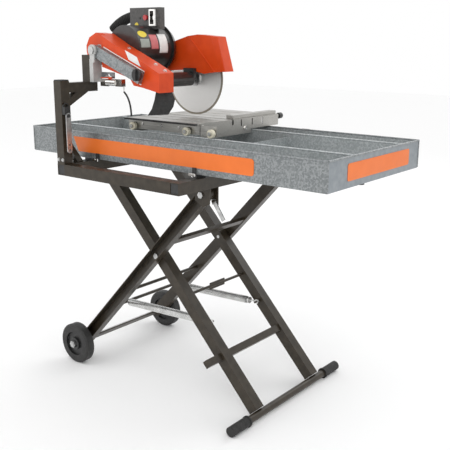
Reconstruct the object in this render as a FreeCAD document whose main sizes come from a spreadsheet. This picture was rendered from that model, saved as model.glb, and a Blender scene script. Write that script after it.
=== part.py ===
import FreeCAD, Part
import math
import os
import re
import Sketcher

# Wet tile saw on a folding stand. Millimetres, +Z up, floor at z = 0, origin under the middle of
# the platform, +X along the tray away from the saw head, +Y from the operator's side to the back.

DIMS = {
    # tray
    "tray_length": 1248, "tray_width": 548, "tray_height": 89, "tray_near": -280, "rim_z": 900,
    "sheet": 2, "near_rail_y": -132, "far_rail_y": 160, "divider_x": 200, "divider_top": 885,
    # platform and mast
    "tube": 38, "tube_wall": 3, "platform_left": -382, "platform_length": 557,
    "platform_half": 371, "platform_top": 797, "post_size": 36, "post_top": 1073,
    "arm_z": 1034, "arm_height": 32, "column_y": -252, "column_top": 1155,
    # folding stand
    "stand_x": -102, "stand_z": 481, "leg_angle": 47, "leg_top": 345.5, "wheel_leg_size": 42,
    "wheel_leg_depth": 32, "leg_size": 38, "leg_wall": 3, "wheel_leg_y": 186, "foot_leg_y": 145,
    "wheel_radius": 76.2, "wheel_width": 38, "wheel_y": 223, "axle_radius": 8,
    "foot_flange": 19, "foot_bar_half": 315, "pin_radius": 6, "play": 0.05,
    # head
    "pivot_x": -323, "pivot_z": 1170, "arbor_x": -126, "arbor_z": 1073.5, "motor_x": -262,
    "motor_z": 1177, "motor_radius": 76, "guard_near": -228, "guard_step": -206,
    "guard_far": -161, "blade_y": 48, "blade_radius": 125, "blade_thick": 2.6,
    "motor_pulley_r": 12, "arbor_pulley_r": 10, "spring_rod_down": 317, "spring_peg_down": 288,
    "spring_y": 131, "spring_length": 413.16, "spring_tilt": 2.943,
    # rolling cart
    "cart_left": -286, "cart_right": 41, "table_z": 941, "slat": 5, "plate": 3,
    "roller_radius": 13.5, "roller_width": 12, "roller_gap": 0.3,
}

doc = FreeCAD.newDocument("tile_saw")
sheet = doc.addObject("Spreadsheet::Sheet", "dims")
for row, (alias, value) in enumerate(DIMS.items(), 1):
    sheet.set(f"A{row}", alias)
    sheet.set(f"B{row}", str(value))
    sheet.setAlias(f"B{row}", alias)
doc.recompute()

# Pieces of one body that are stored together, each still a solid of its own.
FAMILIES = {
    "platform_tubes": ("platform_left_tube", "platform_right_tube", "platform_near_tube",
                       "platform_far_tube"),
    "tray_walls": ("near_rail", "far_rail", "tray_divider"),
    "tray_fittings": ("drain_plug", "rim_clip", "left_tray_tab", "right_tray_tab"),
    "mast": ("mast_post", "mast_arm", "column"),
    "catch_and_pin": ("strap_catch", "strap_pin"),
    "valve_and_plate": ("water_valve", "valve_plate"),
    "stand_ears": ("near_stand_ear", "far_stand_ear", "lever_hanger"),
    "wheel_frame_bars": ("upper_crossbar", "axle_crossbar", "spring_rod", "brace_rod"),
    "foot_frame_bars": ("foot_crossbar", "step_stub", "spring_pegs"),
    "axle_and_bolts": ("wheel_axle", "cross_bolts"),
    "motor_shell": ("motor_can", "motor_stator"),
    "rotor_and_pulley": ("motor_rotor", "motor_pulley"),
    "arbor_and_pulley": ("arbor_shaft", "arbor_pulley"),
    "switch_case": ("switch_box", "toggle_guard"),
    "guard_shell": ("belt_guard", "guard_back"),
    "cart_panels": ("near_panel", "far_panel", "cart_left_plate", "cart_right_plate"),
    "fence_and_rod": ("cart_fence", "fence_rod"),
}

nodes = []
TURNS = {"x": ((0, 1, 0), 90), "y": ((1, 0, 0), -90), "z": ((0, 0, 1), 0)}


def bind(obj, prop, text):
    """Bind one property to an expression written with the sheet's aliases."""
    def alias(match):
        word = match.group()
        return "dims." + word if word in DIMS else word
    obj.setExpression(prop, re.sub(r"[a-z_]+", alias, str(text)))


def place(obj, at, axis=(0, 0, 1), angle=0):
    turn = FreeCAD.Rotation(FreeCAD.Vector(*axis), angle)
    obj.Placement = FreeCAD.Placement(FreeCAD.Vector(0, 0, 0), turn)
    for letter, text in zip("xyz", at):
        bind(obj, f"Placement.Base.{letter}", text)


def turn_about_y(obj, at, angle_text, sign=1):
    """Put a shape at a point, turned about +Y or -Y by a bound angle."""
    place(obj, at, (0, sign, 0), 1)
    bind(obj, "Placement.Rotation.Angle", angle_text)
    return obj


def box(name, size, at):
    obj = doc.addObject("Part::Box", name)
    for prop, text in zip(("Length", "Width", "Height"), size):
        bind(obj, prop, text)
    place(obj, at)
    return obj


def rod(name, radius, length, at, axis):
    """A cylinder that starts at a point and runs along +X, +Y or +Z."""
    obj = doc.addObject("Part::Cylinder", name)
    bind(obj, "Radius", radius)
    bind(obj, "Height", length)
    place(obj, at, *TURNS[axis])
    return obj


def cone(name, first, last, length, at, axis):
    obj = doc.addObject("Part::Cone", name)
    bind(obj, "Radius1", first)
    bind(obj, "Radius2", last)
    bind(obj, "Height", length)
    place(obj, at, *TURNS[axis])
    return obj


def hexagon(name, radius, length, at, axis):
    obj = doc.addObject("Part::Prism", name)
    obj.Polygon = 6
    bind(obj, "Circumradius", radius)
    bind(obj, "Height", length)
    place(obj, at, *TURNS[axis])
    return obj


def many(kind, name, parts):
    obj = doc.addObject(kind, name)
    if kind == "Part::Compound":
        obj.Links = parts
    else:
        obj.Shapes = parts
    return obj


def join(name, *parts):
    return many("Part::MultiFuse", name, list(parts))


def group(name, *parts):
    return many("Part::Compound", name, list(parts))


def cut(name, base, *tools):
    obj = doc.addObject("Part::Cut", name)
    obj.Base = base
    obj.Tool = tools[0] if len(tools) == 1 else group(name + "_tools", *tools)
    return obj


def prism(name, points, depth, at):
    """Pad an outline of (x, z) corners along +Y, from the plane y = 0, then place it."""
    body = doc.addObject("PartDesign::Body", name)
    outline = body.newObject("Sketcher::SketchObject", name + "_outline")
    plane = [f for f in body.Origin.OriginFeatures if f.Role == "XZ_Plane"][0]
    outline.AttachmentSupport = [(plane, "")]
    outline.MapMode = "FlatFace"
    count = len(points)
    rough = [FreeCAD.Vector(100, 0, 0)]
    step = FreeCAD.Rotation(FreeCAD.Vector(0, 0, 1), 360 / count)
    for _ in range(count - 1):
        rough.append(step.multVec(rough[-1]))
    for n in range(count):
        outline.addGeometry(Part.LineSegment(rough[n], rough[(n + 1) % count]))
    for n in range(count):
        outline.addConstraint(Sketcher.Constraint("Coincident", n, 2, (n + 1) % count, 1))
    for n, (x, z) in enumerate(points):
        for kind, text in (("DistanceX", x), ("DistanceY", z)):
            index = outline.addConstraint(Sketcher.Constraint(kind, -1, 1, n, 1, 50.0))
            bind(outline, f"Constraints[{index}]", text)
    pad = body.newObject("PartDesign::Pad", name + "_pad")
    pad.Profile = outline
    pad.Reversed = True
    bind(pad, "Length", depth)
    outline.Visibility = False
    place(body, at)
    return body


def tube(name, size, at, axis, wall="tube_wall"):
    """A box tube: three outer sizes, a corner, and the axis it is open along."""
    outer = box(name + "_outer", size, at)
    inner_size = [f"{s} - 2 * {wall}" for s in size]
    inner_at = [f"{a} + {wall}" for a in at]
    n = "xyz".index(axis)
    inner_size[n] = f"{size[n]} + 2"
    inner_at[n] = f"{at[n]} - 1"
    return cut(name, outer, box(name + "_inner", inner_size, inner_at))


def bolt(name, at, length, head="8", shank="4", sign=1):
    """A hexagon bolt along Y; the head stands on the plane y = at[1], the shank runs into +Y."""
    x, y, z = at
    if sign > 0:
        top = hexagon(name + "_head", head, "5", (x, f"{y} - 5", z), "y")
        return join(name, top, rod(name + "_shank", shank, length, at, "y"))
    top = hexagon(name + "_head", head, "5", at, "y")
    return join(name, top, rod(name + "_shank", shank, length, (x, f"{y} - {length}", z), "y"))


def publish(node, obj):
    obj.Label = node
    nodes.append((node, obj))
    return obj


WHEEL_LEG = "(stand_z - wheel_radius) / sin(leg_angle * 1 deg)"
FOOT_LEG = "(stand_z - foot_flange) / sin(leg_angle * 1 deg)"
FLOOR = "(rim_z - tray_height)"
SIDES = (("near", -1), ("far", 1))


def low_y(sign, inner, depth):
    """The lower y of a piece that spans inner..inner + depth on one side of the middle."""
    return inner if sign > 0 else f"-({inner}) - ({depth})"


def inset(points, wall):
    """Draw a clockwise outline in by a wall thickness."""
    moved = []
    count = len(points)
    for n in range(count):
        a, b, c = (FreeCAD.Vector(*points[(n + k) % count], 0) for k in (-1, 0, 1))
        into, out = (b - a).normalize(), (c - b).normalize()
        right = FreeCAD.Vector(into.y, -into.x, 0) + FreeCAD.Vector(out.y, -out.x, 0)
        shift = right * (wall * 2 / right.Length ** 2)
        moved.append((round(b.x + shift.x, 2), round(b.y + shift.y, 2)))
    return moved


def leg_point(distance, sign):
    """(x, z) a distance down a leg from the crossing bolt; sign -1 is the wheel leg."""
    return (f"stand_x + {sign} * ({distance}) * cos(leg_angle * 1 deg)",
            f"stand_z - ({distance}) * sin(leg_angle * 1 deg)")


def build_tray():
    left, inside = "-tray_length / 2", "tray_length - 2 * sheet"
    outer = box("pan_outer", ("tray_length", "tray_width", "tray_height"), (left, "tray_near", FLOOR))
    inner = box("pan_inner", (inside, "tray_width - 2 * sheet", "tray_height"),
                (f"{left} + sheet", "tray_near + sheet", f"{FLOOR} + sheet"))
    drain = rod("pan_drain", "8", "20", ("600", "-63", f"{FLOOR} - 5"), "z")
    publish("tray_pan", cut("tray_pan", outer, inner, drain))
    for name, y in (("near_rail", "near_rail_y"), ("far_rail", "far_rail_y")):
        web = box(name + "_web", (inside, "sheet", "tray_height - sheet - 3"),
                  (f"{left} + sheet", f"{y} - sheet / 2", f"{FLOOR} + sheet"))
        bead = rod(name + "_bead", "3", inside, (f"{left} + sheet", y, "rim_z - 3"), "x")
        publish(name, join(name, web, bead))
    publish("tray_divider", box("tray_divider", ("sheet", "far_rail_y - near_rail_y - sheet",
                                                 f"divider_top - {FLOOR} - sheet"),
                                ("divider_x", "near_rail_y + sheet / 2", f"{FLOOR} + sheet")))
    publish("drain_plug", join("drain_plug", rod("plug_stem", "8", "sheet", ("600", "-63", FLOOR), "z"),
                               rod("plug_cap", "14", "8", ("600", "-63", f"{FLOOR} - 8"), "z")))
    publish("rim_clip", box("rim_clip", ("30", "6", "16"), ("181", "tray_near + tray_width", "rim_z - 14.8")))


def build_platform():
    bottom = "platform_top - tube"
    right = "platform_left + platform_length - tube"
    for name, x in (("left", "platform_left"), ("right", right)):
        publish(f"platform_{name}_tube", tube(f"platform_{name}_tube",
                                              ("tube", "2 * platform_half", "tube"),
                                              (x, "-platform_half", bottom), "y"))
    for name, y in (("near", "-platform_half"), ("far", "platform_half - tube")):
        publish(f"platform_{name}_tube", tube(f"platform_{name}_tube",
                                              ("platform_length - 2 * tube", "tube", "tube"),
                                              ("platform_left + tube", y, bottom), "x"))
    rests = [box(name + "_rest", ("tube", "500", f"{FLOOR} - platform_top"), (x, "-250", "platform_top"))
             for name, x in (("left", "platform_left"), ("right", right))]
    publish("tray_rests", group("tray_rests", *rests))
    publish("mast_post", tube("mast_post", ("post_size", "post_size", "post_top - platform_top"),
                              ("platform_left + 1", "-platform_half", "platform_top"), "z"))
    start = "post_size - platform_half"
    arm = tube("arm_tube", ("arm_height", "125", "arm_height"), ("platform_left + 3", start, "arm_z"), "y")
    braces = []
    for name, corners in (("upper", (("0", "-47"), ("0", "-26"), ("32", "0"), ("87", "0"))),
                          ("lower", (("0", "75 - 237"), ("0", "48 - 237"), ("27", "-237"),
                                     ("52", "-237")))):
        shape = prism(name + "_brace", corners, "24", ("0", "0", "0"))
        place(shape, ("platform_left + 31", start, "arm_z"), (0, 0, 1), 90)
        braces.append(shape)
    publish("mast_arm", group("mast_arm", arm, *braces))
    publish("column", tube("column", ("tube", "tube", "column_top - arm_z - arm_height"),
                           ("platform_left + 8", "column_y", "arm_z + arm_height"), "z"))


def build_pivot_bracket():
    stem = box("stem", ("18", "tube", "76"), ("-336", "column_y", "arm_z + arm_height"))
    parts = [stem]
    for n, y in enumerate(("column_y", "column_y + tube - 6")):
        parts.append(rod(f"ear_round_{n}", "19", "6", ("pivot_x", y, "pivot_z"), "y"))
        parts.append(box(f"ear_neck_{n}", ("22", "6", "40"), ("pivot_x - 11", y, "pivot_z - 40")))
    hole = rod("pivot_hole", "8 + play", "60", ("pivot_x", "column_y - 5", "pivot_z"), "y")
    publish("pivot_bracket", cut("pivot_bracket", join("bracket_body", *parts), hole))
    publish("pivot_pin", bolt("pivot_pin", ("pivot_x", "column_y", "pivot_z"), "42", "13", "8"))
    publish("valve_plate", cut("valve_plate", box("valve_blank", ("62", "4", "20"),
                                                  ("-318", "-216", "1078.5")),
                               rod("valve_plate_hole", "5", "10", ("-283", "-219", "1089"), "y")))
    valve = [rod("barrel", "11", "45", ("-280", "-225", "1066"), "x"),
             box("valve_bits", ("30", "18", "24"), ("-235", "-231", "1054")),
             rod("barb", "2.5", "14.5", ("-206", "-220", "1040.5"), "z"),
             box("valve_mount", ("40", "5", "25"), ("-318", "-222", "1052"))]
    publish("water_valve", join("water_valve", *valve))
    lever = join("valve_lever", rod("lever_hub", "7", "6", ("-265", "-225", "1077.4"), "z"),
                 box("lever_bar", ("42", "9", "3"), ("-307", "-229.5", "1079")))
    publish("valve_lever", lever)


def build_fittings():
    for name, x in (("left", "-286"), ("right", "150")):
        tab = box(name + "_tab", ("14", "4", "29"), (x, "tray_near - 4", "platform_top + 5"))
        publish(f"{name}_tray_tab", tab)
        y = "tray_near - 4"
        wing = join(name + "_wing_nut", rod(name + "_stud", "3", "12",
                                            (f"{x} + 7", f"{y} - 12.3", "platform_top + 14"), "y"),
                    box(name + "_wings", ("25", "3", "9"), (f"{x} - 5.5", f"{y} - 11", "platform_top + 9.5")))
        publish(f"{name}_wing_nut", wing)
    face = "platform_left + 1 + post_size"
    catch = join("strap_catch", box("catch_body", ("14", "24", "26"), (face, "-370", "964")),
                 cut("bail", rod("bail_outer", "12", "4", (f"{face} + 2", "-358", "990"), "x"),
                     rod("bail_inner", "9", "8", (face, "-358", "990"), "x")))
    publish("strap_catch", catch)
    bar = join("strap_body", box("strap_bar", ("3", "20", "114"), (f"{face} + 14.3", "-368", "846")),
               rod("strap_end", "10", "3", (f"{face} + 14.3", "-358", "846"), "x"),
               rod("strap_top", "10", "3", (f"{face} + 14.3", "-358", "960"), "x"))
    holes = [rod(f"strap_hole_{n}", "3.5", "8", (f"{face} + 12", "-358", z), "x")
             for n, z in enumerate(("846", "864"))]
    holes.append(rod("strap_bore", "3 + play", "8", (f"{face} + 12", "-358", "960"), "x"))
    publish("lock_strap", cut("lock_strap", bar, *holes))
    pin = join("strap_pin", rod("strap_pin_shank", "3", "18.6", (face, "-358", "960"), "x"),
               rod("strap_pin_head", "6", "2", (f"{face} + 17.6", "-358", "960"), "x"))
    publish("strap_pin", pin)


def build_ears():
    # The ears are welded under the right platform tube only, so the bay beside it stays open.
    tube_face = "platform_left + platform_length - tube"
    x, z = leg_point("-leg_top", -1)
    for name, sign in SIDES:
        y = low_y(sign, "wheel_leg_y + wheel_leg_depth + 2", "5")
        corners = ((f"{x} - 24", f"{z} - 20"), (f"{x} - 24", f"{z} + 8"),
                   (f"{x} - 12", f"{z} + 20"), (tube_face, f"{z} + 20"), (tube_face, "platform_top - tube"),
                   (f"{x} + 38", "platform_top - tube"), (f"{x} + 34", f"{z} - 26"),
                   (f"{x} + 8", f"{z} - 38"))
        blank = prism(name + "_ear_blank", corners, "5", ("0", y, "0"))
        hole = rod(name + "_ear_hole", "pin_radius + play", "20", (x, f"{y} - 7", z), "y")
        publish(f"{name}_stand_ear", cut(f"{name}_stand_ear", blank, hole))
    outer = "wheel_leg_y + wheel_leg_depth + 7"
    near = bolt("near_hinge_bolt", (x, f"-({outer})", z), "38", "11", "pin_radius")
    far = bolt("far_hinge_bolt", (x, outer, z), "38", "11", "pin_radius", -1)
    publish("hinge_bolts", group("hinge_bolts", near, far))
    hanger = join("lever_hanger", box("hanger_plate", ("24", "4", "62"), ("140", "-178", "697")),
                  rod("hanger_stud", "4", "10", ("150", "-188", "709"), "y"))
    publish("lever_hanger", hanger)
    strap = join("lever_body", box("lever_strip", ("70", "4", "14"), ("0", "-2", "-7")),
                 rod("lever_eye", "9", "4", ("0", "-2", "0"), "y"))
    lever = cut("stay_strap", strap, rod("lever_bore", "4 + play", "12", ("0", "-6", "0"), "y"))
    turn_about_y(lever, ("150", "-180.5", "709"), "55")
    publish("stay_strap", lever)


def build_wheel_frame():
    depth, size = "wheel_leg_depth", "wheel_leg_size"
    for name, sign in SIDES:
        y = low_y(sign, "0", depth)
        length = f"leg_top + {WHEEL_LEG}"
        start = f"-({WHEEL_LEG})"
        hollow_y = f"({y}) - leg_wall" if sign < 0 else "leg_wall"
        outer, hollow = [], []
        for parts, half, low, tag in ((outer, f"{size} / 2", y, "o"),
                                      (hollow, f"{size} / 2 - leg_wall", hollow_y, "h")):
            parts.append(box(f"{name}_wl_{tag}", (length, depth, f"2 * ({half})"),
                             (start, low, f"-({half})")))
            for n, x in enumerate((start, "leg_top")):
                parts.append(rod(f"{name}_wl_{tag}{n}", half, depth, (x, low, "0"), "y"))
        bores = [rod(f"{name}_wl_bore{n}", radius, "90", (x, "-45", "0"), "y")
                 for n, (x, radius) in enumerate((("leg_top", "pin_radius + play"), ("0", "pin_radius"),
                                                  (start, "axle_radius")))]
        leg = cut(f"{name}_wheel_leg", join(f"{name}_wl_outer", *outer), *hollow, *bores)
        turn_about_y(leg, ("stand_x", f"{sign} * wheel_leg_y", "stand_z"), "leg_angle", -1)
        publish(f"{name}_wheel_leg", leg)
    span = "2 * wheel_leg_y"
    for name, size, at in (("upper_crossbar", ("25", span, "12"), ("94", "-wheel_leg_y", "-19")),
                           ("axle_crossbar", ("28", span, "6"),
                            (f"-({WHEEL_LEG}) + 16", "-wheel_leg_y", "-16"))):
        publish(name, turned_bar(name, size, at))
    for name, distance in (("spring_rod", "spring_rod_down"), ("brace_rod", "218")):
        x, z = leg_point(distance, -1)
        publish(name, rod(name, "6", span, (x, "-wheel_leg_y", z), "y"))
    x, z = leg_point(WHEEL_LEG, -1)
    end = "wheel_y + wheel_width + 12"
    publish("wheel_axle", join("wheel_axle", rod("axle_rod", "axle_radius", f"2 * ({end})",
                                                 (x, f"-({end})", z), "y"),
                               hexagon("near_nut", "14", "9", (x, "-wheel_y - wheel_width - 10", z), "y"),
                               hexagon("far_nut", "14", "9", (x, "wheel_y + wheel_width + 1", z), "y")))
    x, z = leg_point("0", -1)
    face = "wheel_leg_y + leg_wall"
    near = bolt("near_cross_bolt", (x, f"-({face})", z), "44", "11", "pin_radius")
    far = bolt("far_cross_bolt", (x, face, z), "44", "11", "pin_radius", -1)
    publish("cross_bolts", group("cross_bolts", near, far))
    for name, sign in SIDES:
        x, z = leg_point(WHEEL_LEG, -1)
        y = low_y(sign, "wheel_y", "wheel_width")
        tread = rod(name + "_tread", "wheel_radius", "wheel_width - 10", (x, f"{y} + 5", z), "y")
        shoulders = [cone(name + "_shoulder_0", "wheel_radius - 7", "wheel_radius", "5", (x, y, z), "y"),
                     cone(name + "_shoulder_1", "wheel_radius", "wheel_radius - 7", "5",
                          (x, f"{y} + wheel_width - 5", z), "y")]
        dishes = [rod(f"{name}_dish_{n}", "46", "10", (x, at, z), "y")
                  for n, at in enumerate((f"{y} - 1", f"{y} + wheel_width - 9"))]
        rim = cut(name + "_rim", join(name + "_blank", tread, *shoulders), *dishes)
        hub = rod(name + "_hub", "24", "wheel_width", (x, y, z), "y")
        bore = rod(name + "_bore", "axle_radius + play", "60", (x, f"{y} - 5", z), "y")
        publish(name + "_wheel", cut(name + "_wheel", join(name + "_disc", rim, hub), bore))


def turned_bar(name, size, at, sign=-1):
    """A bar drawn in a leg's own frame, then turned with that leg about the crossing bolt."""
    bar = group(name, box(name + "_bar", size, at))
    return turn_about_y(bar, ("stand_x", "0", "stand_z"), "leg_angle", sign)


def build_foot_frame():
    for name, sign in SIDES:
        y = low_y(sign, "0", "leg_size")
        length = f"leg_top - 8 + {FOOT_LEG} - 14"
        outer = box(f"{name}_fl_outer", (length, "leg_size", "leg_size"),
                    ("8 - leg_top", y, "-leg_size / 2"))
        inner_y = f"({y}) + leg_wall"
        inner = box(f"{name}_fl_inner", (f"{length} + 10", "leg_size - 2 * leg_wall",
                                         "leg_size - 2 * leg_wall"),
                    ("3 - leg_top", inner_y, "leg_wall - leg_size / 2"))
        bore = rod(f"{name}_fl_bore", "pin_radius + play", "90", ("0", "-45", "0"), "y")
        leg = cut(f"{name}_foot_leg", outer, inner, bore)
        turn_about_y(leg, ("stand_x", f"{sign} * foot_leg_y", "stand_z"), "leg_angle")
        publish(f"{name}_foot_leg", leg)
    span = "2 * foot_leg_y"
    publish("foot_crossbar", turned_bar("foot_crossbar", ("25", span, "25"),
                                        ("398", "-foot_leg_y", "-12.5"), 1))
    publish("step_stub", turned_bar("step_stub", ("25", "70", "18"),
                                    ("398", "-foot_leg_y - leg_size - 70", "-9"), 1))
    x, z = leg_point(FOOT_LEG, 1)
    publish("foot_bar", rod("foot_bar", "13", "2 * foot_bar_half - 8", (x, "4 - foot_bar_half", z), "y"))
    grips = []
    for name, sign in SIDES:
        sleeve = rod(name + "_sleeve", "17", "90", (x, low_y(sign, "foot_bar_half - 90", "90"), z), "y")
        flange = rod(name + "_flange", "foot_flange", "6", (x, low_y(sign, "foot_bar_half - 90", "6"), z),
                     "y")
        core = rod(name + "_core", "13", "88", (x, low_y(sign, "foot_bar_half - 92", "88"), z), "y")
        grips.append(cut(name + "_grip", join(name + "_grip_body", sleeve, flange), core))
    publish("foot_grips", group("foot_grips", *grips))
    x, z = leg_point("spring_peg_down", 1)
    pegs = [rod(name + "_peg", "4", "26", (x, low_y(sign, "foot_leg_y - 26", "26"), z), "y")
            for name, sign in SIDES]
    publish("spring_pegs", group("spring_pegs", *pegs))
    x, z = leg_point("170", 1)
    publish("release_bar", join("release_bar", rod("release_rod", "5", f"{span} - 0.6",
                                                   (x, "0.3 - foot_leg_y", z), "y"),
                                box("release_pad", ("4", "80", "24"), (f"{x} - 2", "-40", f"{z} - 12"))))
    x, z = leg_point("spring_rod_down", -1)
    rears, fronts = [], []
    for name, sign in SIDES:
        at = (x, f"{sign} * spring_y", z)
        coil = cut(name + "_coil", rod(name + "_coil_outer", "12", "340", ("36", "0", "0"), "x"),
                   rod(name + "_coil_inner", "9", "360", ("26", "0", "0"), "x"))
        rear = join(name + "_rear_body", coil, rod(name + "_rear_cap", "12", "6.5", ("30", "0", "0"), "x"),
                    box(name + "_rear_hook", ("24", "5", "5"), ("8", "-2.5", "-2.5")),
                    rod(name + "_rear_eye", "10", "5", ("0", "-2.5", "0"), "y"))
        rear = cut(name + "_rear", rear, rod(name + "_rear_bore", "6 + play", "20", ("0", "-10", "0"), "y"))
        front = join(name + "_front_body", rod(name + "_front_cap", "12", "6", ("376.3", "0", "0"), "x"),
                     box(name + "_front_hook", ("spring_length - 388", "5", "5"), ("382", "-2.5", "-2.5")),
                     rod(name + "_front_eye", "8", "5", ("spring_length", "-2.5", "0"), "y"))
        front = cut(name + "_front", front,
                    rod(name + "_front_bore", "4 + play", "20", ("spring_length", "-10", "0"), "y"))
        rears.append(turn_about_y(rear, at, "spring_tilt", -1))
        fronts.append(turn_about_y(front, at, "spring_tilt", -1))
    publish("assist_springs", group("assist_springs", *rears))
    publish("spring_fronts", group("spring_fronts", *fronts))


BELT_GUARD = ((-401, 1165), (-401, 1185), (-385, 1212), (-350, 1228), (-310, 1224), (-231, 1186),
              (-101, 1132), (-36, 1102), (-36, 1041), (-111, 1055), (-151, 1060), (-168, 1083),
              (-316, 1120), (-370, 1130), (-395, 1145))
FRONT = ((-300, 1219), (-231, 1186), (-101, 1132), (-36, 1102), (-36, 1041), (-111, 1055),
         (-151, 1060), (-168, 1083), (-300, 1116))
HOOD = ((-258, 1129), (-198, 1202), (-140, 1218), (-96, 1223), (-7, 1216), (28, 1101), (-14, 1099),
        (-69, 1092), (-125, 1103), (-235, 1096))

FLAP = ((30, 84), (77, 84), (90, 52), (84, 28), (67, 3), (0, 0), (14, 22), (23, 50))


def build_head():
    tongue = rod("arm_tongue", "17", "24", ("pivot_x", "-245", "pivot_z"), "y")
    bar = turn_about_y(group("arm_bar", box("arm_blank", ("232", "17", "38"), ("0", "-245", "-19"))),
                       ("pivot_x", "0", "pivot_z"), "21.5")
    bore = rod("arm_bore", "8 + play", "60", ("pivot_x", "-260", "pivot_z"), "y")
    publish("head_arm", cut("head_arm", join("arm_body", tongue, bar), bore))
    outer = join("guard_solid", prism("guard_deep", BELT_GUARD, "45", ("0", "guard_step", "0")),
                 prism("guard_front", FRONT, "30", ("0", "guard_near", "0")))
    inner = [prism("guard_deep_in", inset(BELT_GUARD, 3), "45", ("0", "guard_step + 3", "0")),
             prism("guard_front_in", inset(FRONT, 3), "40", ("0", "guard_near + 3", "0"))]
    publish("belt_guard", cut("belt_guard", outer, *inner))
    holes = [rod("shaft_hole", "12", "20", ("motor_x", "guard_far - 10", "motor_z"), "y"),
             rod("arbor_hole", "12", "20", ("arbor_x", "guard_far - 10", "arbor_z"), "y")]
    publish("guard_back", cut("guard_back", prism("back_blank", inset(BELT_GUARD, 3.2), "3",
                                                  ("0", "guard_far - 3", "0")), *holes))
    flap = prism("splash_flap", FLAP, "3", ("0", "0", "0"))
    place(flap, ("-97", "-221", "966"), (0, 0, 1), 40)
    publish("splash_flap", flap)
    can = rod("can_outer", "motor_radius", "158", ("motor_x", "guard_far + 1", "motor_z"), "y")
    can_in = rod("can_inner", "motor_radius - 6", "160", ("motor_x", "guard_far + 6", "motor_z"), "y")
    shaft_way = rod("can_bore", "8 + play", "20", ("motor_x", "guard_far - 5", "motor_z"), "y")
    publish("motor_can", cut("motor_can", can, can_in, shaft_way))
    publish("motor_stator", cut("motor_stator", rod("stator_outer", "69.9", "90",
                                                    ("motor_x", "-130", "motor_z"), "y"),
                                rod("stator_inner", "42", "100", ("motor_x", "-135", "motor_z"), "y")))
    publish("motor_rotor", join("motor_rotor", rod("rotor_core", "41", "90",
                                                   ("motor_x", "-130", "motor_z"), "y"),
                                rod("rotor_shaft", "8", "209", ("motor_x", "-208", "motor_z"), "y")))
    bell = cone("bell_cone", "motor_radius + 8", "motor_radius - 6", "24", ("motor_x", "-2", "motor_z"),
                "y")
    vents = [group(f"vent_{n}", box(f"vent_box_{n}", ("26", "30", "7"), ("26", "-5", "-3.5")))
             for n in range(8)]
    vents = [turn_about_y(vent, ("motor_x", "0", "motor_z"), str(45 * n)) for n, vent in enumerate(vents)]
    pocket = rod("bell_bore", "8 + play", "12", ("motor_x", "-7", "motor_z"), "y")
    publish("motor_end_bell", cut("motor_end_bell", bell, pocket, *vents))
    case = box("switch_case", ("144", "24", "72"), ("-334", "-60", "1240"))
    saddle = rod("switch_saddle", "motor_radius + 0.2", "90", ("motor_x", "-70", "motor_z"), "y")
    wells = [rod("button_well", "9.3", "15", ("-255", "-61", "1279"), "y"),
             box("toggle_well", ("12", "14", "26"), ("-219", "-61", "1265"))]
    publish("switch_box", cut("switch_box", case, saddle, *wells))
    boot = (("-334", "1265"), ("-440", "1222"), ("-462", "1246"), ("-400", "1290"), ("-334", "1306"))
    publish("ribbed_boot", prism("ribbed_boot", boot, "36", ("0", "-52", "0")))
    bail = cut("toggle_guard", box("guard_bail", ("26", "16", "54"), ("-226", "-76", "1251")),
               box("bail_space", ("18", "30", "44"), ("-222", "-80", "1256")))
    publish("toggle_guard", bail)
    publish("toggle", join("toggle", box("toggle_paddle", ("6", "18", "12"), ("-216", "-68", "1272")),
                           rod("toggle_pivot", "3.5", "10", ("-218", "-54", "1278"), "x")))
    publish("stop_button", rod("stop_button", "9", "16", ("-255", "-67", "1279"), "y"))
    publish("depth_knob", join("depth_knob", rod("knob_disc", "19", "10", ("-112", "-255.3", "1096"), "y"),
                               box("knob_bar", ("10", "8", "36"), ("-117", "-263", "1078"))))


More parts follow.
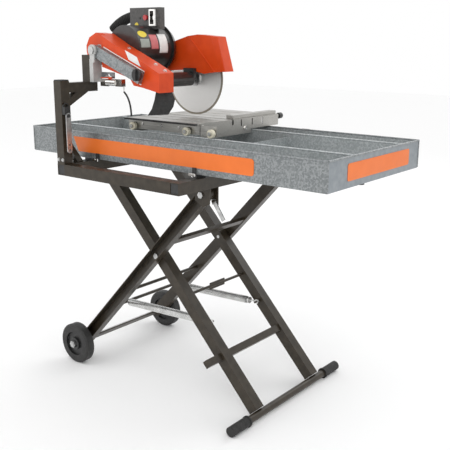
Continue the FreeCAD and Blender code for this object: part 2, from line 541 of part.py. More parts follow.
def build_drive():
    for name, x, z, radius in (("motor_pulley", "motor_x", "motor_z", "motor_pulley_r"),
                               ("arbor_pulley", "arbor_x", "arbor_z", "arbor_pulley_r")):
        drum = rod(name + "_drum", radius, "22", (x, "-206", z), "y")
        lips = [rod(f"{name}_lip_{n}", f"{radius} + 1.5", "2", (x, at, z), "y")
                for n, at in enumerate(("-208", "-184"))]
        bore = rod(name + "_bore", "8", "60", (x, "-220", z), "y")
        publish(name, cut(name, join(name + "_body", drum, *lips), bore))
    gap = "sqrt((arbor_x - motor_x) ^ 2 + (motor_z - arbor_z) ^ 2)"
    loops = []
    for n, size in enumerate(("2", "0.1")):
        ends = [rod(f"belt_end_{n}{end}", f"{radius} + {size}", "18", (x, "-204", z), "y")
                for end, x, z, radius in ((0, "motor_x", "motor_z", "motor_pulley_r"),
                                          (1, "arbor_x", "arbor_z", "arbor_pulley_r"))]
        corners = (("0", f"motor_pulley_r + {size}"), (gap, f"arbor_pulley_r + {size}"),
                   (gap, f"-arbor_pulley_r - {size}"), ("0", f"-motor_pulley_r - {size}"))
        web = turn_about_y(prism(f"belt_web_{n}", corners, "18", ("0", "0", "0")),
                           ("motor_x", "-204", "motor_z"),
                           "atan((motor_z - arbor_z) / (arbor_x - motor_x))")
        loops.append(join(f"belt_loop_{n}", *ends, web))
    publish("drive_belt", cut("drive_belt", *loops))
    housing = join("housing_body", rod("housing_tube", "24", "181", ("arbor_x", "guard_far", "arbor_z"),
                                       "y"),
                   rod("housing_flange", "30", "10", ("arbor_x", "guard_far", "arbor_z"), "y"),
                   box("hood_lug", ("48", "14", "36.5"), ("-150", "12", "1073.5")))
    publish("arbor_housing", cut("arbor_housing", housing,
                                 rod("housing_bore", "8 + play", "220", ("arbor_x", "-180", "arbor_z"),
                                     "y")))
    publish("arbor_shaft", rod("arbor_shaft", "8", "274", ("arbor_x", "-208", "arbor_z"), "y"))
    blade_near = "blade_y - blade_thick / 2"
    bore = rod("blade_bore", "8", "10", ("arbor_x", "blade_y - 5", "arbor_z"), "y")
    publish("blade", cut("blade", rod("blade_disc", "blade_radius", "blade_thick",
                                      ("arbor_x", blade_near, "arbor_z"), "y"), bore))
    rings = []
    for n, at in enumerate((f"{blade_near} - 6", "blade_y + blade_thick / 2")):
        rings.append(cut(f"flange_{n}", rod(f"flange_disc_{n}", "25", "6", ("arbor_x", at, "arbor_z"), "y"),
                         rod(f"flange_bore_{n}", "8", "20", ("arbor_x", f"{at} - 5", "arbor_z"), "y")))
    rings.append(cut("arbor_nut", hexagon("nut_body", "14", "9",
                                          ("arbor_x", "blade_y + blade_thick / 2 + 6", "arbor_z"), "y"),
                     rod("nut_bore", "8", "30", ("arbor_x", "blade_y", "arbor_z"), "y")))
    publish("blade_flanges", group("blade_flanges", *rings))
    cavity = [(-255, 1128)] + inset(HOOD, 2.5)[1:5] + [(31.9, 1080), (-262, 1080)]
    publish("blade_guard", cut("blade_guard", prism("hood_outer", HOOD, "44", ("0", "26", "0")),
                               prism("hood_inner", cavity, "39", ("0", "28.5", "0"))))


def build_cart():
    length = "cart_right - cart_left"
    edges = ((-133, -76), (-70, -14), (-8, 43), (53, 110), (116, 175), (181, 248), (254, 317))
    slats = [box(f"slat_{n}", (length, high - low, "slat"), ("cart_left", low, "table_z - slat"))
             for n, (low, high) in enumerate(edges)]
    publish("cart_slats", group("cart_slats", *slats))
    publish("edge_strip", box("edge_strip", (length, "14", "slat"),
                              ("cart_left", "-147", "table_z - slat")))
    publish("near_panel", box("near_panel", ("398", "plate", "32"), ("cart_left", "-122", "904")))
    publish("far_panel", box("far_panel", (length, "plate", "32"), ("cart_left", "170", "904")))
    for name, x in (("left", "cart_left - plate"), ("right", "cart_right")):
        wide = box(name + "_wide", ("plate", "439", "39"), (x, "-122", "902"))
        apron = box(name + "_apron", ("plate", "270", "20"), (x, "-120", "888"))
        slots = [box(f"{name}_slot_{n}", ("9", w, h), (f"{x} - 3", f"{y} - {w} / 2", z))
                 for n, (y, w, h, z) in enumerate(((48, 10, 30, 922), (95, 6, 23, 915), (158, 6, 23, 915),
                                                   (219, 6, 23, 915)))]
        publish(f"cart_{name}_plate", cut(f"cart_{name}_plate", join(name + "_plate_blank", wide, apron),
                                          *slots))
    publish("cart_fence", box("cart_fence", ("30", "253", "12"), ("5", "60", "table_z + 0.3")))
    publish("fence_rod", rod("fence_rod", "5", "32", ("20", "317", "930"), "y"))
    publish("fence_knob", rod("fence_knob", "11", "18", ("20", "349.3", "930"), "y"))
    z = "rim_z + roller_radius + roller_gap"
    bolts = []
    for side, rail, spots in (("near", "near_rail_y", (-258, -8, 98)), ("far", "far_rail_y", (-258, -8))):
        for n, x in enumerate(spots):
            name = f"{side}_roller_{n + 1}"
            wheel = rod(name + "_disc", "roller_radius", "roller_width",
                        (x, f"{rail} - roller_width / 2", z), "y")
            publish(name, cut(name, wheel, rod(name + "_bore", "4 + play", "40", (x, f"{rail} - 20", z),
                                               "y")))
            bolts.append(bolt(name + "_bolt", (x, f"{rail} - roller_width / 2 - 1", z), "17", "7"))
    publish("roller_bolts", group("roller_bolts", *bolts))


# ---- water hose ---------------------------------------------------------------
def swept(name, points, radius):
    """A round cord: straight runs joined by tangent arcs that share the shorter run."""
    corners = [FreeCAD.Vector(*p) for p in points]
    edges, cursor = [], corners[0]
    radii = []
    for before, corner, after in zip(corners, corners[1:], corners[2:]):
        into = (corner - before).normalize()
        out = (after - corner).normalize()
        half = into.getAngle(out) / 2
        run = 0.45 * min((corner - before).Length, (after - corner).Length)
        radii.append(run * math.cos(half) / math.sin(half))
        first, last = corner - into * run, corner + out * run
        toward = (out - into).normalize()
        centre = corner + toward * (radii[-1] / math.cos(half))
        middle = centre - toward * radii[-1]
        edges.append(Part.LineSegment(cursor, first).toShape())
        edges.append(Part.Arc(first, middle, last).toShape())
        cursor = last
    edges.append(Part.LineSegment(cursor, corners[-1]).toShape())
    path = Part.Wire(edges)
    ring = Part.Wire(Part.makeCircle(radius, corners[0], corners[1] - corners[0]))
    shape = path.makePipeShell([ring], True, False)
    feature = doc.addObject("Part::Feature", name)
    feature.Shape = shape
    feature.Placement = FreeCAD.Placement()
    section = math.pi * radius ** 2 * path.Length
    print(name, "length", round(path.Length, 1), "radii", [round(r, 1) for r in radii],
          "volume", round(shape.Volume), "section x length", round(section))
    publish(name, feature)


HOSE = ((-206, -220, 1037), (-174, -220, 1014), (-174, -220, 958))

for build in (build_tray, build_platform, build_pivot_bracket, build_fittings, build_ears,
              build_wheel_frame, build_foot_frame, build_head, build_drive, build_cart):
    build()
swept("water_hose", HOSE, 3)
for family, names in FAMILIES.items():
    pieces = [obj for node, obj in nodes if node in names]
    nodes = [(node, obj) for node, obj in nodes if node not in names]
    publish(family, group(family, *pieces))
doc.recompute()

faults = []
for obj in doc.Objects:
    if "Invalid" in obj.State or "Error" in obj.State:
        faults.append(f"{obj.Name}: {obj.State}")
for node, obj in nodes:
    if obj.Shape.isNull() or not obj.Shape.isValid():
        faults.append(f"{node}: bad shape")
if faults:
    raise RuntimeError("; ".join(faults))

os.makedirs("parts", exist_ok=True)
for node, obj in nodes:
    obj.Shape.exportStep(f"parts/{node}.step")
print(len(nodes), "nodes written")
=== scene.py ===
import math

import bmesh
import bpy
from mathutils import Euler, Matrix, Vector


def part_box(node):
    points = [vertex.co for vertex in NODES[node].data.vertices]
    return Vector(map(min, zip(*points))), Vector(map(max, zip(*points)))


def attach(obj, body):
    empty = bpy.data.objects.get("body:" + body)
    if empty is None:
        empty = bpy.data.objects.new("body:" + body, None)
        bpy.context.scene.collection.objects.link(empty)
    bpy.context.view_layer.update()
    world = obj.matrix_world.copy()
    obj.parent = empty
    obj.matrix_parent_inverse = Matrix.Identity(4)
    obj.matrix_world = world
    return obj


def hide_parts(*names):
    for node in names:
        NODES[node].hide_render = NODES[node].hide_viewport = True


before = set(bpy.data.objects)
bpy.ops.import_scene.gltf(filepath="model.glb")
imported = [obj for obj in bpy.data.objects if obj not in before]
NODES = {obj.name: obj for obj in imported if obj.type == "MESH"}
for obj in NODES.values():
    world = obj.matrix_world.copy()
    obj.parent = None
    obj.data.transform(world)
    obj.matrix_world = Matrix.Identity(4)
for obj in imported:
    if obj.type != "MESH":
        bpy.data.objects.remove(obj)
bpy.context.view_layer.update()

# ---- materials -------------------------------------------------------------------------------


def nodes_of(name):
    """A new material, its node tree and its shader."""
    mat = bpy.data.materials.new(name)
    mat.use_nodes = True
    tree = mat.node_tree
    return mat, tree, tree.nodes["Principled BSDF"]


def noise(tree, scale, detail=4.0, stretch=(1, 1, 1), kind="ShaderNodeTexNoise"):
    """A noise or Voronoi texture laid in the row frame, stretched to make grain."""
    coord = tree.nodes.new("ShaderNodeTexCoord")
    mapping = tree.nodes.new("ShaderNodeMapping")
    mapping.inputs["Scale"].default_value = stretch
    texture = tree.nodes.new(kind)
    texture.inputs["Scale"].default_value = scale
    if kind == "ShaderNodeTexNoise":
        texture.inputs["Detail"].default_value = detail
    tree.links.new(coord.outputs["Object"], mapping.inputs["Vector"])
    tree.links.new(mapping.outputs["Vector"], texture.inputs["Vector"])
    return texture


def ramp(tree, source, low, high, start=0.3, end=0.7):
    """Turn a texture's value into a colour between two tones."""
    node = tree.nodes.new("ShaderNodeValToRGB")
    node.color_ramp.elements[0].position = start
    node.color_ramp.elements[1].position = end
    node.color_ramp.elements[0].color = (*low, 1)
    node.color_ramp.elements[1].color = (*high, 1)
    tree.links.new(source, node.inputs["Fac"])
    return node.outputs["Color"]


PATCH_SCALE, PATCH_DETAIL = 0.35, 6.0
RELIEF_SCALE, RELIEF_DETAIL = 3, 3.0
COAT_ROUGHNESS = 0.12


def surface(name, low, high, metal, rough, scale, bump=0.1, stretch=(1, 1, 1), coat=0.0, depth=0.0004,
            shine=0.5, kind="ShaderNodeTexNoise"):
    """A finish with two-tone variation, uneven roughness and fine relief."""
    mat, tree, shader = nodes_of(name)
    texture = noise(tree, scale, stretch=stretch, kind=kind)
    source = texture.outputs["Color"] if kind == "ShaderNodeTexVoronoi" else texture.outputs["Fac"]
    tree.links.new(ramp(tree, source, low, high), shader.inputs["Base Color"])
    patches = noise(tree, scale * PATCH_SCALE, PATCH_DETAIL)
    tone = ramp(tree, patches.outputs["Fac"], (rough[0],) * 3, (rough[1],) * 3)
    tree.links.new(tone, shader.inputs["Roughness"])
    relief = tree.nodes.new("ShaderNodeBump")
    relief.inputs["Strength"].default_value = bump
    relief.inputs["Distance"].default_value = depth
    grain = noise(tree, scale * RELIEF_SCALE, RELIEF_DETAIL, stretch)
    tree.links.new(grain.outputs["Fac"], relief.inputs["Height"])
    tree.links.new(relief.outputs["Normal"], shader.inputs["Normal"])
    shader.inputs["Metallic"].default_value = metal
    shader.inputs["Specular IOR Level"].default_value = shine
    shader.inputs["Coat Weight"].default_value = coat
    shader.inputs["Coat Roughness"].default_value = COAT_ROUGHNESS
    return mat


MAT = {
    "zinc": surface("zinc", (0.20, 0.215, 0.220), (0.31, 0.325, 0.330), 0.7, (0.34, 0.48), 210, 0.08,
                    kind="ShaderNodeTexVoronoi"),
    "zinc_inside": surface("zinc_inside", (0.40, 0.425, 0.43), (0.54, 0.565, 0.57), 0.6, (0.34, 0.48),
                           210, 0.08, kind="ShaderNodeTexVoronoi"),
    "zinc_satin": surface("zinc_satin", (0.25, 0.275, 0.295), (0.31, 0.335, 0.355), 0.7, (0.38, 0.5),
                          60, 0.08),
    "black_paint": surface("black_paint", (0.026, 0.020, 0.013), (0.046, 0.036, 0.024), 0.0, (0.28, 0.40),
                           40, 0.06, coat=0.12, shine=0.3),
    "motor_black": surface("motor_black", (0.012, 0.011, 0.011), (0.026, 0.025, 0.024), 0.0, (0.28, 0.4),
                           55, 0.1, coat=0.3),
    "orange": surface("orange", (0.60, 0.050, 0.004), (0.68, 0.064, 0.007), 0.0, (0.34, 0.44), 30, 0.05,
                      coat=0.1, shine=0.25),
    "strip_orange": surface("strip_orange", (0.76, 0.155, 0.014), (0.82, 0.175, 0.018), 0.0, (0.35, 0.45),
                            18, 0.03),
    "rubber": surface("rubber", (0.010, 0.010, 0.010), (0.025, 0.024, 0.023), 0.0, (0.55, 0.75), 130, 0.25),
    "tyre": surface("tyre", (0.012, 0.012, 0.012), (0.03, 0.029, 0.028), 0.0, (0.5, 0.7), 160, 0.3),
    "plastic": surface("plastic", (0.014, 0.014, 0.014), (0.03, 0.03, 0.03), 0.0, (0.38, 0.5), 110, 0.15),
    "case_grey": surface("case_grey", (0.050, 0.048, 0.046), (0.085, 0.082, 0.078), 0.0, (0.4, 0.52),
                         120, 0.15),
    "chrome": surface("chrome", (0.66, 0.64, 0.61), (0.85, 0.84, 0.82), 1.0, (0.10, 0.2), 50, 0.02),
    "steel": surface("steel", (0.40, 0.40, 0.40), (0.62, 0.62, 0.61), 1.0, (0.26, 0.42), 70, 0.08),
    "cart": surface("cart", (0.34, 0.33, 0.31), (0.52, 0.51, 0.48), 0.8, (0.28, 0.45), 26, 0.08, (1, 14, 14)),
    "grey": surface("grey", (0.42, 0.42, 0.41), (0.54, 0.54, 0.53), 0.3, (0.36, 0.48), 50, 0.06),
    "cream": surface("cream", (0.66, 0.62, 0.48), (0.78, 0.74, 0.60), 0.0, (0.45, 0.6), 60, 0.05),
    "iron": surface("iron", (0.10, 0.10, 0.10), (0.17, 0.17, 0.17), 0.6, (0.5, 0.7), 90, 0.3),
    "white": surface("white", (0.74, 0.73, 0.71), (0.84, 0.83, 0.81), 0.0, (0.4, 0.5), 40, 0.02),
    "yellow": surface("yellow", (0.72, 0.56, 0.04), (0.80, 0.64, 0.07), 0.0, (0.4, 0.5), 40, 0.02),
    "pink": surface("pink", (0.52, 0.12, 0.13), (0.62, 0.18, 0.18), 0.0, (0.4, 0.5), 40, 0.02),
    "label_grey": surface("label_grey", (0.28, 0.31, 0.28), (0.36, 0.39, 0.36), 0.0, (0.4, 0.5), 40, 0.02),
    "red": surface("red", (0.45, 0.012, 0.016), (0.58, 0.02, 0.024), 0.0, (0.25, 0.35), 40, 0.02, coat=0.4),
    "spring": surface("spring", (0.62, 0.62, 0.61), (0.84, 0.84, 0.83), 0.8, (0.20, 0.30), 26, 0.03),
}


RING_SCALE = 900
BONDED_RIM = 0.007


def blade_finish():
    """Ground steel: fine rings about the arbor, and a darker bonded cutting rim."""
    mat, tree, shader = nodes_of("blade_steel")
    low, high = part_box("blade")
    centre = (low + high) / 2
    radius = (high.x - low.x) / 2
    coord = tree.nodes.new("ShaderNodeTexCoord")
    offset = tree.nodes.new("ShaderNodeVectorMath")
    offset.operation = "SUBTRACT"
    offset.inputs[1].default_value = centre
    length = tree.nodes.new("ShaderNodeVectorMath")
    length.operation = "LENGTH"
    tree.links.new(coord.outputs["Object"], offset.inputs[0])
    tree.links.new(offset.outputs["Vector"], length.inputs[0])
    rings = tree.nodes.new("ShaderNodeTexNoise")
    rings.noise_dimensions = "1D"
    rings.inputs["Scale"].default_value = RING_SCALE
    tree.links.new(length.outputs["Value"], rings.inputs["W"])
    ground = ramp(tree, rings.outputs["Fac"], (0.76, 0.75, 0.73), (0.90, 0.89, 0.87), 0.35, 0.65)
    edge = tree.nodes.new("ShaderNodeMath")
    edge.operation = "GREATER_THAN"
    edge.inputs[1].default_value = radius - BONDED_RIM
    tree.links.new(length.outputs["Value"], edge.inputs[0])
    mix = tree.nodes.new("ShaderNodeMix")
    mix.data_type = "RGBA"
    mix.inputs["B"].default_value = (0.30, 0.27, 0.22, 1)
    tree.links.new(edge.outputs["Value"], mix.inputs["Factor"])
    tree.links.new(ground, mix.inputs["A"])
    tree.links.new(mix.outputs["Result"], shader.inputs["Base Color"])
    shader.inputs["Metallic"].default_value = 0.75
    shader.inputs["Roughness"].default_value = 0.4
    return mat


MAT["blade"] = blade_finish()

FINISH = {
    "zinc": "tray_pan head_arm valve_and_plate",
    "zinc_inside": "tray_walls",
    "black_paint": "platform_tubes mast stand_ears near_wheel_leg far_wheel_leg wheel_frame_bars "
                   "near_foot_leg far_foot_leg foot_frame_bars foot_bar release_bar",
    "motor_black": "motor_shell motor_end_bell arbor_housing",
    "orange": "guard_shell blade_guard valve_lever",
    "plastic": "tray_rests tray_fittings catch_and_pin depth_knob fence_knob",
    "case_grey": "switch_case",
    "rubber": "splash_flap edge_strip foot_grips drive_belt",
    "tyre": "near_wheel far_wheel",
    "steel": "pivot_pin hinge_bolts axle_and_bolts blade_flanges arbor_and_pulley roller_bolts "
             "stay_strap lock_strap",
    "chrome": "toggle left_wing_nut right_wing_nut",
    "grey": "pivot_bracket",
    "iron": "rotor_and_pulley",
    "red": "stop_button",
    "spring": "spring_fronts",
    "cart": "cart_slats cart_panels fence_and_rod",
    "cream": "near_roller_1 near_roller_2 near_roller_3 far_roller_1 far_roller_2",
    "blade": "blade",
}


def smooth_by_angle(obj, degrees=32):
    mesh = obj.data
    mesh.polygons.foreach_set("use_smooth", [True] * len(mesh.polygons))
    mesh.set_sharp_from_angle(angle=math.radians(degrees))


def soften(obj, width, segments=2):
    """Round the edges a little, so that they catch the light as worked metal does."""
    bevel = obj.modifiers.new("edges", "BEVEL")
    bevel.width = width
    bevel.segments = segments
    bevel.limit_method = "ANGLE"
    bevel.angle_limit = math.radians(40)
    bevel.harden_normals = True


EDGE, FINE_EDGE = 0.0008, 0.0003
THIN_NODES = ("blade", "tray_pan", "tray_walls")


def finish_node(name, material, edge):
    """Give a CAD node its material, smooth shading and softened edges."""
    obj = NODES[name]
    obj.data.materials.clear()
    obj.data.materials.append(MAT[material])
    smooth_by_angle(obj)
    soften(obj, edge)


for material, names in FINISH.items():
    for name in names.split():
        finish_node(name, material, FINE_EDGE if name in THIN_NODES else EDGE)


def repaint(node, material, test):
    """Give the faces of one node whose centres pass a test another finish."""
    mesh = NODES[node].data
    mesh.materials.append(MAT[material])
    index = len(mesh.materials) - 1
    for face in mesh.polygons:
        if test(face.center):
            face.material_index = index


tray_low, tray_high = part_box("tray_pan")
guard_low, guard_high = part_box("guard_shell")
SHEET = 0.002
END_SKIN = 0.0005
BIB_HEIGHT = 0.045
BAIL_DEPTH = 0.0155
HUB_RADIUS = 0.047


def inside_tray(c):
    """Whether a face centre of the pan lies inside its outer skins."""
    return (abs(c.x) < tray_high.x - END_SKIN and c.z > tray_low.z + END_SKIN
            and tray_low.y + END_SKIN < c.y < tray_high.y - END_SKIN)


repaint("tray_pan", "zinc_satin", lambda c: c.x > tray_high.x - END_SKIN)
repaint("tray_pan", "zinc_inside", inside_tray)
repaint("guard_shell", "motor_black", lambda c: c.y > guard_high.y - 2 * SHEET)
valve_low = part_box("valve_and_plate")[0]
repaint("valve_and_plate", "chrome", lambda c: c.z < valve_low.z + BIB_HEIGHT)
bail_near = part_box("switch_case")[0].y
repaint("switch_case", "chrome", lambda c: c.y < bail_near + BAIL_DEPTH)
for side in ("near", "far"):
    low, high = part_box(side + "_wheel")
    hub = (low + high) / 2
    repaint(side + "_wheel", "plastic", lambda c, hub=hub: math.hypot(c.x - hub.x, c.z - hub.z) < HUB_RADIUS)

# ---- mesh helpers ----------------------------------------------------------------------------


def piece(name, verts, faces, body, material, edge=0.0):
    """A mesh that rides on a body; edge is the width of its softened edges."""
    mesh = bpy.data.meshes.new(name)
    mesh.from_pydata([tuple(v) for v in verts], [], faces)
    bm = bmesh.new()
    bm.from_mesh(mesh)
    bmesh.ops.recalc_face_normals(bm, faces=bm.faces)
    bm.to_mesh(mesh)
    bm.free()
    obj = bpy.data.objects.new(name, mesh)
    bpy.context.scene.collection.objects.link(obj)
    mesh.materials.append(MAT[material])
    smooth_by_angle(obj)
    if edge:
        soften(obj, edge)
    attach(obj, body)
    return obj


def plate(name, outline, across, body, material, plane="xz", edge=0.0005):
    """A flat plate: an outline in one plane and a span along the third axis."""
    def point(a, b, c):
        return {"xz": (a, c, b), "yz": (c, a, b), "xy": (a, b, c)}[plane]
    count = len(outline)
    verts = [point(a, b, c) for c in across for a, b in outline]
    faces = [tuple(range(count)), tuple(range(2 * count - 1, count - 1, -1))]
    faces += [(n, (n + 1) % count, count + (n + 1) % count, count + n) for n in range(count)]
    return piece(name, verts, faces, body, material, edge)


def rounded(low, high, radius, steps=6):
    """A rounded rectangle's outline between two corners."""
    centres = ((high[0] - radius, high[1] - radius, 0), (low[0] + radius, high[1] - radius, 90),
               (low[0] + radius, low[1] + radius, 180), (high[0] - radius, low[1] + radius, 270))
    out = []
    for x, y, first in centres:
        for n in range(steps + 1):
            turn = math.radians(first + 90 * n / steps)
            out.append((x + radius * math.cos(turn), y + radius * math.sin(turn)))
    return out


def sweep(name, points, radius_at, body, material, sides=12):
    """A round tube along points; radius_at(n) gives its radius at each."""
    verts, faces = [], []
    normal = None
    for n, here in enumerate(points):
        before, after = points[max(n - 1, 0)], points[min(n + 1, len(points) - 1)]
        tangent = (Vector(after) - Vector(before)).normalized()
        if normal is None:
            normal = tangent.orthogonal().normalized()
        normal = (normal - tangent * normal.dot(tangent)).normalized()
        side = tangent.cross(normal)
        for k in range(sides):
            turn = 2 * math.pi * k / sides
            spoke = normal * math.cos(turn) + side * math.sin(turn)
            verts.append(Vector(here) + spoke * radius_at(n))
    for n in range(len(points) - 1):
        for k in range(sides):
            a, b = n * sides + k, n * sides + (k + 1) % sides
            faces.append((a, b, b + sides, a + sides))
    faces += [tuple(range(sides)), tuple(range(len(verts) - sides, len(verts)))]
    return piece(name, verts, faces, body, material)


def bolt_head(name, centre, axis, body, material, radius, height=0.004):
    """A hexagon head on a round flange, with its edges softened."""
    turn = Vector(axis).to_track_quat("Z", "Y").to_matrix()
    flange = height * 0.25
    verts, faces = [], []
    for sides, reach, levels in ((24, radius * 1.25, (0.0, flange)), (6, radius, (flange, height))):
        start = len(verts)
        for z in levels:
            for k in range(sides):
                angle = 2 * math.pi * k / sides
                corner = Vector((reach * math.cos(angle), reach * math.sin(angle), z))
                verts.append(turn @ corner + Vector(centre))
        faces += [(start + k, start + (k + 1) % sides, start + sides + (k + 1) % sides, start + sides + k)
                  for k in range(sides)]
        faces += [tuple(range(start, start + sides)), tuple(range(start + sides, start + 2 * sides))]
    return piece(name, verts, faces, body, material, 0.0004)


def disc(x, z, radius, count):
    """The outline of a round plate in the xz plane."""
    angles = [math.radians(360 / count * k) for k in range(count)]
    return [(x + radius * math.cos(a), z + radius * math.sin(a)) for a in angles]


# ---- tray trim -------------------------------------------------------------------------------


STRIP_GAP, STRIP_FACE = 0.0002, 0.0012
STRIP_DROP, STRIP_FOOT = 0.020, 0.070


def tray_trim():
    """Rolled rim, blank coloured strips and the welded seams at the corners."""
    bead, seam, foot = 0.003, 0.0022, 0.002
    low, high = tray_low, tray_high
    top = high.z - bead * 0.6
    corners = [(low.x, low.y), (high.x, low.y), (high.x, high.y), (low.x, high.y)]
    for n, (x, y) in enumerate(corners):
        end = corners[(n + 1) % 4]
        sweep(f"rim_bead_{n}", [Vector((x, y, top)), Vector((*end, top))], lambda _: bead, "frame", "zinc")
        sweep(f"corner_seam_{n}", [Vector((x, y, low.z + foot)), Vector((x, y, top))], lambda _: seam,
              "frame", "zinc")
    strip_low, strip_high = high.z - STRIP_FOOT, high.z - STRIP_DROP
    left, right, lean, curve = -0.402, 0.381, 0.025, 0.010
    quarter = [math.radians(15 * k) for k in range(7)]
    outline = [(left, strip_high), (left + lean, strip_low)]
    outline += [(right - curve + curve * math.sin(a), strip_low + curve - curve * math.cos(a))
                for a in quarter]
    outline += [(right - curve + curve * math.cos(a), strip_high - curve + curve * math.sin(a))
                for a in quarter]
    plate("side_strip", outline, (low.y - STRIP_FACE, low.y - STRIP_GAP), "frame", "strip_orange",
          edge=0.0003)
    end_near, end_far, end_curve = -0.178, 0.200, 0.008
    plate("end_strip", rounded((end_near, strip_low), (end_far, strip_high), end_curve),
          (high.x + STRIP_GAP, high.x + STRIP_FACE), "frame", "strip_orange", "yz", 0.0003)


# ---- head trim -------------------------------------------------------------------------------


LABEL_GAP, LABEL_THICKNESS = 0.0006, 0.0004


def on_cylinder(centre, radius, angle):
    """The x and z of a point on a cylinder that lies along y."""
    return centre.x + radius * math.cos(angle), centre.z + radius * math.sin(angle)


def motor_labels():
    """Plain coloured patches that follow the motor's curve, with nothing printed on them."""
    low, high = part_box("motor_shell")
    centre, radius = (low + high) / 2, (high.x - low.x) / 2 + LABEL_GAP
    # Finish, near and far ends in metres, first and last angle in degrees, and whether it is oval.
    spans = (("yellow", -0.154, -0.114, 28, 48, True), ("label_grey", -0.154, -0.112, 2, 24, False),
             ("pink", -0.106, -0.072, -2, 36, False), ("white", -0.066, -0.026, -12, 38, False))
    rows, columns = 14, 10
    for name, near, far, first, last, oval in spans:
        verts, faces = [], []
        for i in range(rows + 1):
            share = i / rows
            angle = math.radians(first + (last - first) * share)
            taper = math.sqrt(max(0.02, 1 - (2 * share - 1) ** 2)) if oval else 1
            half = (far - near) / 2 * taper
            for k in range(columns + 1):
                y = (near + far) / 2 - half + 2 * half * k / columns
                x, z = on_cylinder(centre, radius, angle)
                verts.append((x, y, z))
        for i in range(rows):
            for k in range(columns):
                a = i * (columns + 1) + k
                faces.append((a, a + 1, a + columns + 2, a + columns + 1))
        label = piece(f"motor_label_{name}", verts, faces, "head", name)
        thick = label.modifiers.new("thick", "SOLIDIFY")
        thick.thickness = LABEL_THICKNESS


def head_trim():
    """Pale lines that paint the highlights along the arm's two edges, a blank label on the guard, its bolts,
    and the switch case's dot and hole.
    """
    near = guard_low.y
    shaft = math.radians(21.5)
    pivot = sum(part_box("pivot_pin"), Vector()) / 2
    origin = Vector((pivot.x, 0, pivot.z))
    along, up = Vector((math.cos(shaft), 0, -math.sin(shaft))), Vector((math.sin(shaft), 0, math.cos(shaft)))
    first, last, offset, half_width = 0.028, 0.232, 0.0225, 0.0015
    # The two white strips are painted highlights along the upper and lower edges of the arm, not marks on the
    # guard.
    for n, side in enumerate((1, -1)):
        start = origin + along * first + up * side * offset
        stop = origin + along * last + up * side * offset
        across = up * half_width
        outline = [(p.x, p.z) for p in (start - across, stop - across, stop + across, start + across)]
        plate(f"arm_edge_highlight_{n}", outline, (near - 0.002, near + 0.0005), "head", "white", edge=0.0003)
    label = [origin + along * a + up * b for a, b in
             ((0.152, 0.030), (0.210, 0.030), (0.184, 0.052), (0.126, 0.052))]
    plate("guard_label", [(p.x, p.z) for p in label], (near - 0.0008, near), "head", "white", edge=0.0002)
    bolt_y, sunk, slope = -0.185, 0.0005, (0.38, 0, 0.92)
    for n, (x, z) in enumerate(((-0.211, 1.1777), (-0.091, 1.1274), (-0.050, 1.1085))):
        bolt_head(f"guard_bolt_{n}", (x, bolt_y, z - sunk), slope, "head", "chrome", 0.0055)
    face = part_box("switch_case")[0].y + 0.016
    plate("switch_dot", disc(-0.302, 1.254, 0.009, 24), (face - 0.0008, face + 0.0002), "head", "yellow",
          edge=0.0002)
    plate("switch_hole", disc(-0.283, 1.277, 0.004, 18), (face - 0.0006, face + 0.0002), "head", "rubber",
          edge=0.0002)


def hood_trim():
    """The pressed diagonal ridge, the folded facet and the bright hem on the blade guard's near face."""
    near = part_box("blade_guard")[0].y
    bite = 0.0003
    ridge = ((-0.140, 1.217), (-0.133, 1.2175), (-0.016, 1.099), (-0.023, 1.098))
    facet = ((-0.034, 1.2172), (-0.007, 1.215), (0.027, 1.102), (0.008, 1.101))
    rolled = ((-0.236, 1.0985), (-0.125, 1.1055), (-0.125, 1.1025), (-0.236, 1.0955))
    for name, outline, proud, material, edge in (("ridge", ridge, 0.0022, "orange", 0.0010),
                                                 ("facet", facet, 0.0020, "orange", 0.0009),
                                                 ("hem", rolled, 0.0016, "chrome", 0.0005)):
        plate(f"hood_{name}", outline, (near - proud, near + bite), "head", material, edge=edge)


def cable_loom():
    """The ribbed loom that leaves the switch box behind the motor."""
    low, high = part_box("ribbed_boot")
    y = (low.y + high.y) / 2
    start, bend = Vector((high.x, y, 1.285)), Vector((-0.400, y, 1.278))
    stop = Vector((low.x + 0.014, y, 1.240))
    count, rib, mean, relief = 90, 6, 0.0155, 0.0025
    path = []
    for n in range(count + 1):
        s = n / count
        path.append(start * (1 - s) ** 2 + bend * 2 * s * (1 - s) + stop * s ** 2)
    ribbed = sweep("ribbed_loom", path, lambda n: mean + relief * (1 if n % rib < rib / 2 else -1),
                   "head", "rubber", 20)
    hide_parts("ribbed_boot")


# ---- stand details ---------------------------------------------------------------------------


def coil_spring(name, start, stop, radius, wire, body):
    """A close-wound extension spring with a short straight lead at each end."""
    start, stop = Vector(start), Vector(stop)
    axis = (stop - start).normalized()
    side = axis.orthogonal().normalized()
    other = axis.cross(side)
    lead, lead_points, steps = 0.008, 4, 14
    length = (stop - start).length - 2 * lead
    turns = int(length / (wire * 2.15))
    points = [start + axis * (lead * n / lead_points) for n in range(lead_points)]
    for n in range(turns * steps + 1):
        turn = 2 * math.pi * n / steps
        points.append(start + axis * (lead + length * n / (turns * steps))
                      + (side * math.cos(turn) + other * math.sin(turn)) * radius)
    points += [stop - axis * (lead * (3 - n) / lead_points) for n in range(lead_points)]
    return sweep(name, points, lambda _: wire, body, "spring", 6)


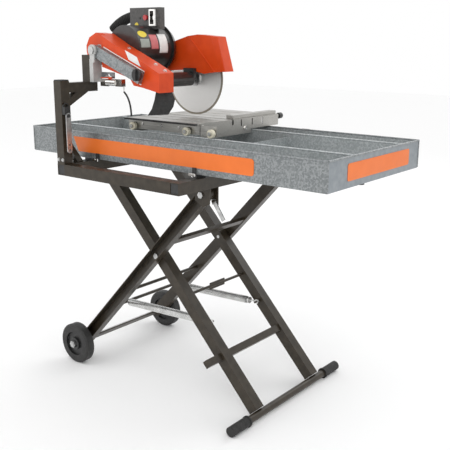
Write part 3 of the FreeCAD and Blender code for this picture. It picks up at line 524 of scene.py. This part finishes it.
def springs():
    """Two nested coils a side, in place of one that stretches.

    The outer swings on the wheel frame's rod, and the inner slides out of it with the peg's hook.
    """
    rod_x, rod_z, spring_y = -0.3182, 0.2492, 0.131
    tilt = math.radians(2.943)
    wire = 0.0016
    # Name, first and last distance from the rod, radius and body.
    coils = (("coil", 0.009, 0.379, 0.0122, "springs"),
             ("inner_coil", 0.186, 0.384, 0.0080, "spring_hooks"))
    for side, y in (("near", -spring_y), ("far", spring_y)):
        for part, first, last, radius, body in coils:
            start, stop = ((rod_x + reach * math.cos(tilt), y, rod_z + reach * math.sin(tilt))
                           for reach in (first, last))
            coil = coil_spring(f"{side}_spring_{part}", start, stop, radius, wire, body)
            if body == "springs":
                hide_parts("assist_springs")


def caps():
    """Moulded caps a little inside the open tube ends, the mast's cap and the post's bolts."""
    low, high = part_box("platform_tubes")
    tube, wall, corner = 0.038, 0.003, 0.003
    sunk, depth = 0.0015, 0.006
    for x_name, x in (("left", low.x), ("right", high.x - tube)):
        for y_name, y, out in (("near", low.y, 1), ("far", high.y, -1)):
            outline = rounded((x + wall, low.z + wall), (x + tube - wall, high.z - wall), corner)
            plate(f"cap_{x_name}_{y_name}", outline, (y + out * sunk, y + out * depth), "frame", "plastic",
                  edge=0.001)
    post = rounded((-0.381, -0.371), (-0.345, -0.335), 0.004)
    plate("mast_cap", post, (1.0730, 1.0765), "frame", "plastic", "xy", 0.0012)
    for n, x in enumerate((-0.352, -0.372)):
        bolt_head(f"post_bolt_{n}", (x, -0.371, 0.812), (0, -1, 0), "frame", "steel", 0.005)


def hose():
    """The water hose from the valve's barb, hanging free over the near trough."""
    route = ((-0.206, -0.220, 1.037), (-0.174, -0.220, 1.014), (-0.174, -0.220, 0.958))
    curve = bpy.data.curves.new("hose_line", "CURVE")
    curve.dimensions = "3D"
    line = curve.splines.new("NURBS")
    line.points.add(len(route) - 1)
    for point, place in zip(line.points, route):
        point.co = (*place, 1)
    line.order_u = 3
    line.use_endpoint_u = True
    line.resolution_u = 16
    curve.bevel_depth = 0.003
    curve.bevel_resolution = 6
    curve.use_fill_caps = True
    curve.materials.append(MAT["rubber"])
    obj = bpy.data.objects.new("water_line", curve)
    bpy.context.scene.collection.objects.link(obj)
    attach(obj, "frame")
    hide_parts("water_hose")


def cart_trim():
    """Bolt heads on the cart's near panel and end, and the blank tab at its corner."""
    for n, x in enumerate((-0.220, -0.130, -0.050)):
        bolt_head(f"panel_bolt_{n}", (x, -0.122, 0.922), (0, -1, 0), "cart", "chrome", 0.0045, 0.003)
    bolt_head("end_bolt", (0.044, 0.118, 0.907), (1, 0, 0), "cart", "chrome", 0.007)
    tab = rounded((-0.122, 0.918), (-0.106, 0.936), 0.002)
    plate("corner_tab", tab, (0.0442, 0.0452), "cart", "white", "yz", 0.0003)


tray_trim()
motor_labels()
head_trim()
hood_trim()
cable_loom()
springs()
caps()
hose()
cart_trim()

# ---- studio ----------------------------------------------------------------------------------

CAMERA_AT = (1.6095, -1.9260, 1.2095)
CAMERA_AZIMUTH, CAMERA_PITCH, CAMERA_ROLL = 39.01, -14.26, 0.19
LENS = 58.67
FLOOR_HALF = 14
LIGHT_AIM = Vector((0, 0, 0.85))
LIGHTS = (("key", (2.4, -3.2, 3.6), 2.2, 32), ("fill", (-3.0, -2.6, 2.4), 2.6, 14),
          ("back", (0.5, 3.4, 3.2), 2.4, 26))


def studio():
    """The camera that was fitted to the photo, a pale floor, a white world and three soft lights."""
    camera = bpy.data.cameras.new("camera")
    camera.lens = LENS
    camera.sensor_width = 36
    camera.clip_end = 60
    eye = bpy.data.objects.new("camera", camera)
    bpy.context.scene.collection.objects.link(eye)
    turn = Euler((math.radians(90 + CAMERA_PITCH), 0, math.radians(CAMERA_AZIMUTH)), "XYZ").to_matrix()
    turn = turn @ Matrix.Rotation(math.radians(CAMERA_ROLL), 3, "Z")
    eye.matrix_world = Matrix.Translation(CAMERA_AT) @ turn.to_4x4()
    bpy.context.scene.camera = eye
    mesh = bpy.data.meshes.new("floor")
    corners = [(x * FLOOR_HALF, y * FLOOR_HALF, 0) for x, y in ((-1, -1), (1, -1), (1, 1), (-1, 1))]
    mesh.from_pydata(corners, [], [(0, 1, 2, 3)])
    floor = bpy.data.objects.new("floor", mesh)
    bpy.context.scene.collection.objects.link(floor)
    mat, _, shader = nodes_of("floor_pale")
    shader.inputs["Base Color"].default_value = (0.97, 0.97, 0.97, 1)
    shader.inputs["Roughness"].default_value = 0.9
    mesh.materials.append(mat)
    world = bpy.data.worlds.new("studio")
    world.use_nodes = True
    world.node_tree.nodes["Background"].inputs["Color"].default_value = (1, 1, 1, 1)
    world.node_tree.nodes["Background"].inputs["Strength"].default_value = 1.0
    bpy.context.scene.world = world
    for name, place, size, power in LIGHTS:
        light = bpy.data.lights.new(name, "AREA")
        light.size = size
        light.energy = power
        lamp = bpy.data.objects.new(name, light)
        bpy.context.scene.collection.objects.link(lamp)
        lamp.location = place
        lamp.rotation_euler = (LIGHT_AIM - Vector(place)).to_track_quat("-Z", "Y").to_euler()
    bpy.context.scene.view_settings.view_transform = "Standard"


studio()
